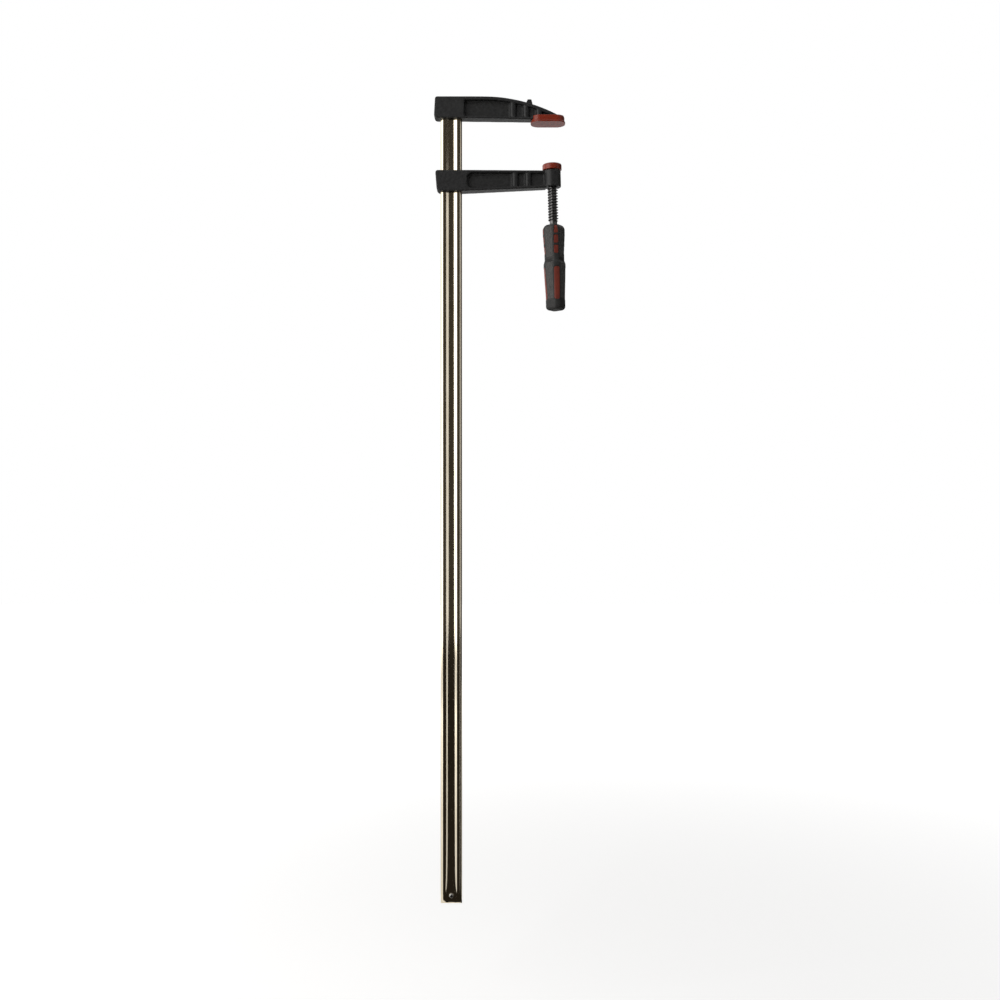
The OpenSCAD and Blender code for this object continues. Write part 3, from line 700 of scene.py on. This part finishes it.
def threadRod(name, lowZ, highZ, grow=0.0, widen=0.0):
    t = screwThread
    line = threadLine(grow, widen)
    line.append((line[0][0], line[0][1] + t["pitch"]))
    first = math.floor(lowZ / t["pitch"]) - 1  # turns to spare at both ends are cut off below
    turns = math.ceil((highZ - lowZ) / t["pitch"]) + 3
    rod = drawLine(name, [(r * mm, 0, (h + first * t["pitch"]) * mm) for r, h in line])
    bpy.ops.object.mode_set(mode="OBJECT")
    useModifier(rod, "SCREW", axis="Z", angle=2 * math.pi, screw_offset=t["pitch"] * mm, iterations=turns,
                steps=t["steps"], render_steps=t["steps"], use_merge_vertices=True, merge_threshold=weld)
    editMesh(rod)
    for height, way in ((lowZ, -1), (highZ, 1)):
        bpy.ops.mesh.select_all(action="SELECT")
        bpy.ops.mesh.bisect(plane_co=(0, 0, height * mm), plane_no=(0, 0, way),
                            use_fill=True, clear_outer=True)
    tidyMesh()
    return rod


slidingArm = {"height": 28.1, "rise": 4.8, "backLean": 2.2, "topRound": 3.4, "lowRound": 5.4,
              "recessGap": 6.8, "flange": 3.4, "recessRound": 7.0, "ribBack": 32.8, "ribs": 2,
              "bossWidth": 23.0, "bossSides": 96, "bossTop": -63.5, "bossLow": -85.5, "threadPast": 2.13,
              "railFit": 0.35}


def bossBlank():
    a = slidingArm
    height = (a["bossTop"] - a["bossLow"]) * mm
    rod = addRod("boss", (0, 0, a["bossLow"] * mm), height, a["bossWidth"] / 2 * mm, a["bossSides"])
    return leanOver(rod)


def makeSlidingArm():
    a, past = slidingArm, castForm["past"]
    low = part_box("sliding_arm")[0] / mm
    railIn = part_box("rail")[1].x / mm
    top, tipLow = low.z + a["height"], low.z + a["rise"]
    bossX = -(a["bossTop"] + a["bossLow"]) / 2 * math.tan(screwLean)
    out, recessX = bossX - screwThread["outer"] / 2 - past, railIn + a["recessGap"]
    backTop, backLow = (low.x, top), (low.x + a["backLean"], low.z)
    outline = fillet((railIn, top), backTop, backLow, a["topRound"])
    outline += fillet(backTop, backLow, (railIn, low.z), a["lowRound"])
    outline += [(railIn, low.z), (out, tipLow), (out, top)]
    arm = sideSolid("sliding_arm_casting", outline, -castForm["collarWidth"] / 2, castForm["collarWidth"] / 2)
    roundBack(arm, backLow[0] + past)
    combine(arm, planSolid("taper", taperPlan(low.x, recessX, out), low.z - past, top + past), "INTERSECT")
    combine(arm, bossBlank(), "UNION")
    roundX, recessTop, recessLow = recessX + a["recessRound"], top - a["flange"], low.z + a["flange"]
    recess = arc((roundX, recessTop - a["recessRound"]), a["recessRound"], 90, 180)
    recess += arc((roundX, recessLow + a["recessRound"]), a["recessRound"], 180, 270)
    recess += [(out, tipLow + a["flange"]), (out, recessTop)]
    ribPlaces = [bossX - a["ribBack"] - k * castForm["ribPitch"] for k in range(a["ribs"])]
    cutRecesses(arm, recess, ribPlaces, low.z, top, bossBlank)
    meltEdges(arm, castForm["voxel"], castForm["passes"])
    combine(arm, railSlot(a["railFit"], low.z - past, top + past), "DIFFERENCE")
    thread = threadRod("boss thread", a["bossLow"] - a["threadPast"], a["bossTop"] + a["threadPast"],
                       screwThread["bossFit"], screwThread["flankFit"])
    combine(arm, leanOver(thread), "DIFFERENCE")
    smoothShade(arm, castForm["smooth"])
    handOver(arm, "arm", "sliding_arm", castBlack)


makeSlidingArm()


# Screw: a threaded rod with a button end above, a neck below and a tang inside the handle

spindleForm = {"threadTop": -64.5, "threadLow": -132.1, "buttonTop": -57.8,
               "buttonThick": 1.8, "buttonWidth": 9.0, "domeRadius": 6.5, "domeSteps": 8, "shankWidth": 6.0,
               "neckWidth": 10.2, "tangWidth": 9.0, "tangFlat": 7.4, "tangLength": 62.0, "tangInto": 0.5,
               "flatsReach": 300.0, "chamfer": 1.6, "blankPast": 1.0, "coreOver": 0.05,
               "shoulder": (0.2, 0.3), "steps": 96, "smooth": 40}


# The tang inside the handle, or the hole for it with a gap all round
def tangSolid(name, gap, past):
    s = spindleForm
    foot = (0, 0, (handleTop - s["tangLength"] - gap) * mm)
    tang = addRod(name, foot, (s["tangLength"] + past) * mm, (s["tangWidth"] / 2 + gap) * mm)
    reach, flat = s["tangWidth"] * mm, (s["tangFlat"] / 2 + gap) * mm
    flats = addBox("flats", (-reach, -flat, -s["flatsReach"] * mm), (reach, flat, 0))
    return combine(tang, flats, "INTERSECT")


def makeSpindle():
    s, outer = spindleForm, screwThread["outer"] / 2
    top, low, c = s["threadTop"], s["threadLow"], s["chamfer"]
    root = outer - screwThread["depth"]
    spindle = threadRod("screw_spindle", low, top)
    blank = [(0, top + s["blankPast"]), (root, top + s["blankPast"]), (root, top), (outer, top - c),
             (outer, low + c), (root, low), (root, low - s["blankPast"]), (0, low - s["blankPast"])]
    combine(spindle, turnSolid("blank", blank, s["steps"]), "INTERSECT")
    edge = math.degrees(math.asin(s["buttonWidth"] / 2 / s["domeRadius"]))
    dome = arc((0, s["buttonTop"] - s["domeRadius"]), s["domeRadius"], 90, 90 - edge, s["domeSteps"])
    buttonLow, core = s["buttonTop"] - s["buttonThick"], root + s["coreOver"]
    outside, inside = s["shoulder"]
    line = dome + [(s["buttonWidth"] / 2, buttonLow), (s["shankWidth"] / 2, buttonLow),
                   (s["shankWidth"] / 2, top - outside), (core, top - inside), (core, low + inside),
                   (s["neckWidth"] / 2, low + outside), (s["neckWidth"] / 2, handleTop), (0, handleTop)]
    combine(spindle, turnSolid("core", line, s["steps"]), "UNION")
    combine(spindle, tangSolid("tang", 0, s["tangInto"]), "UNION")
    leanOver(spindle)
    smoothShade(spindle, s["smooth"])
    handOver(spindle, "screw", "spindle", blackScrew)


makeSpindle()


# Swivel plate: a steel disc in a soft red cap

plateCover = {"top": -54.6, "low": -62.4, "width": 25.8, "face": 2.0, "skirt": 2.1, "edge": 1.6, "foot": 0.5,
              "snapIn": 0.8, "snapHeight": 0.9, "snapBevel": 0.2, "edgeSteps": 8, "footSteps": 4,
              "steps": 128, "smooth": 40}


def makePlateCover():
    p = plateCover
    outer, inner = p["width"] / 2, p["width"] / 2 - p["skirt"]
    snap, snapTop = inner - p["snapIn"], p["low"] + p["snapHeight"]
    line = [(0, p["top"])] + arc((outer - p["edge"], p["top"] - p["edge"]), p["edge"], 90, 0, p["edgeSteps"])
    line += arc((outer - p["foot"], p["low"] + p["foot"]), p["foot"], 0, -90, p["footSteps"])
    line += [(snap + p["snapBevel"], p["low"]), (snap, p["low"] + p["snapBevel"]), (snap, snapTop),
             (inner, snapTop), (inner, p["top"] - p["face"]), (0, p["top"] - p["face"])]
    cover = turnSolid("plate_cover_cap", line, p["steps"])
    leanOver(cover)
    smoothShade(cover, p["smooth"])
    handOver(cover, "swivel_plate", "plate_cover", redCover)


makePlateCover()
for node in ("pressure_plate", "plate_ring"):
    steel = frame["nodes"][node]
    steel.data.materials.clear()
    steel.data.materials.append(plainSteel)


# Handle: a red core that shows through the windows of a soft grip

handleForm = {"length": 116.0, "width": 29.76, "waistWidth": 26.6, "waistAt": 48.0,
              "bulge": 7.0, "shoulder": 8.0, "topWidth": 12.0, "endWidth": 26.2, "endRound": 5.0, "flat": 1.9,
              "cornerTurn": 9.0, "corners": 4, "rings": 128, "endRings": 12, "sides": 96,
              "notch": 1.5, "notchHeight": 1.2, "notchDrop": 1.6, "notchSpan": 33.0,
              "gripWall": 1.6, "topWall": 1.6, "endWall": 8.0, "coreEvery": 3, "coreSides": 72,
              "tangPast": 3.0, "windowDepth": 0.35, "windowFit": 0.25, "seatFit": 0.05, "windowRound": 1.6,
              "windows": 3, "windowWidth": 6.4, "windowHeight": 11.0, "windowPitch": 13.4, "windowAt": 8.6,
              "windowInner": 5.5, "firstTopWidth": 4.0, "longWidth": 8.0, "longHeight": 44.0, "longAt": 80.5,
              "longRound": 3.0, "voxel": 0.42, "passes": 4, "coreSmooth": 40, "gripSmooth": 60}


# Corner radius of the handle at a depth below its top
def handleRadius(depth):
    h = handleForm
    full, waist, end, top = (h[name] / 2 for name in ("width", "waistWidth", "endWidth", "topWidth"))
    bulgeAt, endAt = h["waistAt"] + h["bulge"], h["length"] - h["endRound"]
    if depth < h["shoulder"]:
        return top + (full - top) * math.sqrt(1 - (1 - depth / h["shoulder"]) ** 2)
    if depth < h["waistAt"]:
        return ease(full, waist, (depth - h["shoulder"]) / (h["waistAt"] - h["shoulder"]))
    if depth < bulgeAt:
        return ease(waist, full, (depth - h["waistAt"]) / h["bulge"])
    if depth < endAt:
        return ease(full, end, (depth - bulgeAt) / (endAt - bulgeAt))
    rise = min(1, (depth - endAt) / h["endRound"])
    return end - h["endRound"] * (1 - math.sqrt(1 - rise * rise))


# Depths of the rings, closer together over the shoulder and the round end
def ringDepths():
    h = handleForm
    endAt, count = h["length"] - h["endRound"], h["endRings"]
    shoulder = [h["shoulder"] * (1 - math.cos(math.pi / 2 * k / count)) for k in range(count + 1)]
    body = [h["shoulder"] + (endAt - h["shoulder"]) * k / h["rings"] for k in range(1, h["rings"] + 1)]
    end = [endAt + h["endRound"] * math.sin(math.pi / 2 * k / count) for k in range(1, count + 1)]
    return shoulder + body + end


# Radius of the section at a turn round the axis: round corners, flats and a notch across each flat
def sectionRadius(turn, radius, notch):
    h = handleForm
    step = 2 * math.pi / h["corners"]
    fromFlat = (turn - math.radians(h["cornerTurn"] - 90)) % step - step / 2
    across = max(0, 1 - (math.degrees(fromFlat) / h["notchSpan"]) ** 2)
    return min(radius, (radius - h["flat"]) / math.cos(fromFlat)) - notch * across


# A ring of points is pulled down the handle and shaped at each step
def handleSolid(name, inset):
    h = handleForm
    deselectAll()
    bpy.ops.mesh.primitive_circle_add(vertices=h["sides"], radius=mm, fill_type="NGON")
    form = bpy.context.object
    form.name = name
    bpy.ops.object.mode_set(mode="EDIT")
    for k, depth in enumerate(ringDepths()):
        if k:
            bpy.ops.mesh.extrude_region_move()
        bm = bmesh.from_edit_mesh(form.data)
        radius = handleRadius(depth) - inset
        notch = h["notch"] * math.exp(-((depth - h["waistAt"] - h["notchDrop"]) / h["notchHeight"]) ** 2)
        ring = [v for v in bm.verts if v.select]
        for v in ring:
            turn = math.atan2(v.co.y, v.co.x)
            reach = sectionRadius(turn, radius, notch)
            v.co = (reach * math.cos(turn) * mm, reach * math.sin(turn) * mm, (handleTop - depth) * mm)
        bmesh.update_edit_mesh(form.data)
    tidyMesh()
    return form


def windowBlock(depth, topWidth, lowWidth, height, radius, margin):
    h = handleForm
    topHalf, lowHalf = topWidth / 2 - margin, lowWidth / 2 - margin
    top, low = handleTop - depth + height / 2 - margin, handleTop - depth - height / 2 + margin
    corners = [(-topHalf, top), (-lowHalf, low), (lowHalf, low), (topHalf, top)]
    inTurn = zip(corners[-1:] + corners[:-1], corners, corners[1:] + corners[:1])
    line = [p for three in inTurn for p in fillet(*three, radius - margin)]
    points = [(h["windowInner"] * mm, y * mm, z * mm) for y, z in line]
    return drawSolid("window", points, (h["width"] * mm, 0, 0))


# One corner's windows are drawn, and copied round to the other corners
def windowBlocks(margin):
    h = handleForm
    column = []
    for k in range(h["windows"]):
        topWidth = h["firstTopWidth"] if k == 0 else h["windowWidth"]
        column.append(windowBlock(h["windowAt"] + k * h["windowPitch"], topWidth, h["windowWidth"],
                                  h["windowHeight"], h["windowRound"], margin))
    column.append(windowBlock(h["longAt"], h["longWidth"], h["longWidth"], h["longHeight"],
                              h["longRound"], margin))
    first = joinUp(column)
    first.rotation_euler = (0, 0, math.radians(h["cornerTurn"] - 90))
    settlePlace()
    columns = [first]
    for corner in range(1, h["corners"]):
        takeUp(first)
        bpy.ops.object.duplicate()
        columns.append(bpy.context.object)
        columns[-1].rotation_euler = (0, 0, 2 * math.pi / h["corners"] * corner)
        settlePlace()
    return joinUp(columns)


def coreSolid(name, gap):
    h = handleForm
    inset, coreLow = h["flat"] + h["gripWall"], h["length"] - h["endWall"]
    between = [d for d in ringDepths()[::h["coreEvery"]] if h["topWall"] < d < coreLow]
    depths = [h["topWall"] - gap] + between + [coreLow + gap]
    line = [(handleRadius(d) - inset + gap, handleTop - d) for d in depths]
    return turnSolid(name, [(0, line[0][1])] + line + [(0, line[-1][1])], h["coreSides"])


def makeHandleCore():
    h = handleForm
    core = coreSolid("handle_core_red", 0)
    pads = combine(windowBlocks(h["windowFit"]), handleSolid("inside", h["windowDepth"]), "INTERSECT")
    combine(core, pads, "UNION")
    combine(core, tangSolid("tang hole", h["seatFit"], h["tangPast"]), "DIFFERENCE")
    leanOver(core)
    smoothShade(core, h["coreSmooth"])
    handOver(core, "screw", "handle_core", redHandle)


def makeHandleGrip():
    h = handleForm
    grip = handleSolid("handle_grip_soft", 0)
    combine(grip, windowBlocks(0), "DIFFERENCE")
    meltEdges(grip, h["voxel"], h["passes"])
    combine(grip, coreSolid("core space", h["seatFit"]), "DIFFERENCE")
    combine(grip, tangSolid("tang hole", h["seatFit"], h["tangPast"]), "DIFFERENCE")
    leanOver(grip)
    smoothShade(grip, h["gripSmooth"])
    handOver(grip, "screw", "handle_grip", greyGrip)


makeHandleCore()
makeHandleGrip()


# Studio: white all round, dark cards that only reflections see, a soft key lamp on the left

studio = {"floorSize": 12.0, "floorTone": (0.82, 0.82, 0.82), "floorRoughness": 0.9, "nearGlow": 0.62,
          "farGlow": 1.0, "glowFrom": 0.3, "glowTo": 2.6, "worldFill": 0.10, "underHandle": 0.003}

# Cards stand round the rail or lie level with its foot, from one bearing to another.
# 0 is the front and 90 the right
cardSet = {"reach": 3.3, "low": -2.1, "high": 1.5, "overFoot": 0.0005,
           "standTone": (0.055, 0.048, 0.038), "floorTone": (0.022, 0.018, 0.014)}
standingCards = {"front_card": {"span": (-34.0, 18.9)},
                 "high_card": {"span": (18.9, 36.3), "low": 0.83, "high": 2.3},
                 "right_card": {"span": (36.3, 61.0)},
                 "side_card": {"span": (79.0, 150.0)},
                 "back_card": {"span": (183.0, 212.0)}}
floorCards = {"floor_card_front": {"span": (-30.0, 26.0), "near": (-0.002, 0.002), "ahead": 0.006},
              "floor_card_right": {"span": (34.2, 68.5), "near": (-0.004, 0.01), "ahead": 0.006},
              "floor_card_side": {"span": (73.0, 120.0), "near": (0.0, 0.01)},
              "floor_card_back": {"span": (144.0, 216.0), "near": (0.005, -0.005), "reach": 2.2}}


# 1 for what the camera sees straight or mirrored, 0 for the light that falls on things
def seenDirectly(tree):
    path = tree.nodes.new("ShaderNodeLightPath")
    first = tree.nodes.new("ShaderNodeMath")
    second = tree.nodes.new("ShaderNodeMath")
    for node in (first, second):
        node.operation = "MAXIMUM"
    tree.links.new(path.outputs["Is Camera Ray"], first.inputs[0])
    tree.links.new(path.outputs["Is Glossy Ray"], first.inputs[1])
    tree.links.new(first.outputs["Value"], second.inputs[0])
    tree.links.new(path.outputs["Is Transmission Ray"], second.inputs[1])
    return second.outputs["Value"]


def makeWorld():
    world = bpy.data.worlds.new("studio")
    bpy.context.scene.world = world
    world.use_nodes = True
    tree = world.node_tree
    background = tree.nodes["Background"]
    background.inputs["Color"].default_value = (1, 1, 1, 1)
    level = tree.nodes.new("ShaderNodeMapRange")
    level.inputs["To Min"].default_value = studio["worldFill"]
    level.inputs["To Max"].default_value = 1.0
    tree.links.new(seenDirectly(tree), level.inputs["Value"])
    tree.links.new(level.outputs["Result"], background.inputs["Strength"])


# The clamp hangs by its jaw, and the floor is just below where the handle comes when the arm is right down
def makeFloor():
    deselectAll()
    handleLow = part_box("handle_grip")[0].z + joints["arm_slide"]["range_m"][0]
    floorPlace = (0, 0, handleLow - studio["underHandle"])
    bpy.ops.mesh.primitive_plane_add(size=studio["floorSize"], location=floorPlace)
    floor = bpy.context.object
    floor.name = "floor"
    paper = bpy.data.materials.new("pale floor")
    paper.use_nodes = True
    tree = paper.node_tree
    shader = tree.nodes["Principled BSDF"]
    shader.inputs["Base Color"].default_value = (*studio["floorTone"], 1)
    shader.inputs["Roughness"].default_value = studio["floorRoughness"]
    shader.inputs["Specular IOR Level"].default_value = 0.0
    shader.inputs["Emission Color"].default_value = (1, 1, 1, 1)
    place = addNode(paper, "TexCoord")
    fromFoot = addNode(paper, "VectorMath", operation="DISTANCE")
    fromFoot.inputs[1].default_value = (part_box("rail")[0].x, 0, 0)
    join(paper, place.outputs["Object"], fromFoot.inputs[0])
    level = addNode(paper, "MapRange", interpolation_type="SMOOTHSTEP", From_Min=studio["glowFrom"],
                    From_Max=studio["glowTo"], To_Min=studio["nearGlow"], To_Max=studio["farGlow"])
    join(paper, fromFoot.outputs["Value"], level.inputs["Value"])
    glow = combineValues(paper, "MULTIPLY", level.outputs["Result"], seenDirectly(tree))
    join(paper, glow, shader.inputs["Emission Strength"])
    floor.data.materials.append(paper)


def cardTone(name, colour):
    tone = bpy.data.materials.new(name)
    tone.use_nodes = True
    shader = tone.node_tree.nodes["Principled BSDF"]
    shader.inputs["Base Color"].default_value = (0, 0, 0, 1)
    shader.inputs["Specular IOR Level"].default_value = 0.0
    shader.inputs["Emission Color"].default_value = (*colour, 1)
    shader.inputs["Emission Strength"].default_value = 1.0
    return tone


# Only reflections see a card
def addCard(name, corners, tone):
    card = drawLine(name, corners)
    bpy.ops.mesh.edge_face_add()
    bpy.ops.object.mode_set(mode="OBJECT")
    card.data.materials.append(tone)
    card.visible_camera = False
    card.visible_diffuse = False
    card.visible_shadow = False
    card.visible_transmission = False


def makeCards():
    low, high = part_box("rail")
    footX = (low.x + high.x) / 2

    def onBearing(angle, reach, z):
        turn = math.radians(angle)
        return (footX + reach * math.sin(turn), -reach * math.cos(turn), z)

    tone = cardTone("dark card", cardSet["standTone"])
    for name, card in standingCards.items():
        first, last = card["span"]
        bottom, top = card.get("low", cardSet["low"]), card.get("high", cardSet["high"])
        addCard(name, [onBearing(angle, cardSet["reach"], z) for angle, z in
                       ((first, bottom), (last, bottom), (last, top), (first, top))], tone)
    tone = cardTone("dark floor card", cardSet["floorTone"])
    floorZ = cadLow.z + cardSet["overFoot"]
    for name, card in floorCards.items():
        reach = card.get("reach", cardSet["reach"])
        first, last = (onBearing(angle, reach, floorZ) for angle in card["span"])
        ahead = card.get("ahead", 0.0)  # a strip of pale floor is left before the rail's foot
        nearFirst, nearLast = ((footX + shift + ahead * math.tan(math.radians(angle)), -ahead, floorZ)
                               for shift, angle in zip(card["near"], card["span"]))
        addCard(name, [nearFirst, first, last, nearLast], tone)


# All aim at a point this share of the way from the jaw's face down to the clamp's middle
lampSet = {"tint": (1.0, 0.985, 0.96), "aim": 0.5}
lamps = {"key": {"place": (-1.75, -1.45, 0.25), "size": (2.0, 2.6), "power": 43, "shines": True},
         "side": {"place": (-2.1, 0.9, 0.1), "size": (1.4, 2.4), "power": 14, "shines": True},
         "right": {"place": (1.5, -2.0, 0.1), "size": (0.9, 2.4), "power": 2, "shines": False}}


def makeLamps():
    target = (cadLow + cadHigh) / 2
    target.z *= lampSet["aim"]
    for name, lamp in lamps.items():
        data = bpy.data.lights.new(name, "AREA")
        data.shape = "RECTANGLE"
        data.size, data.size_y = lamp["size"]
        data.energy = lamp["power"]
        data.color = lampSet["tint"]
        light = bpy.data.objects.new(name, data)
        bpy.context.scene.collection.objects.link(light)
        light.visible_camera = False
        light.visible_glossy = lamp["shines"]
        light.location = lamp["place"]
        light.rotation_euler = (target - light.location).to_track_quat("-Z", "Y").to_euler()


photoView = {"place": (-0.0688, -1.55, -0.5079), "fieldWidth": 1.352, "sensor": 36.0}


def makeCamera():
    data = bpy.data.cameras.new("photo view")
    data.sensor_width = photoView["sensor"]
    data.lens = photoView["sensor"] * -photoView["place"][1] / photoView["fieldWidth"]
    camera = bpy.data.objects.new("photo view", data)
    bpy.context.scene.collection.objects.link(camera)
    camera.location = photoView["place"]
    camera.rotation_euler = (math.radians(90), 0, 0)
    bpy.context.scene.camera = camera


makeWorld()
makeFloor()
makeCards()
makeLamps()
makeCamera()
bpy.context.scene.view_settings.view_transform = "Standard"
print("studio set")

deselectAll()
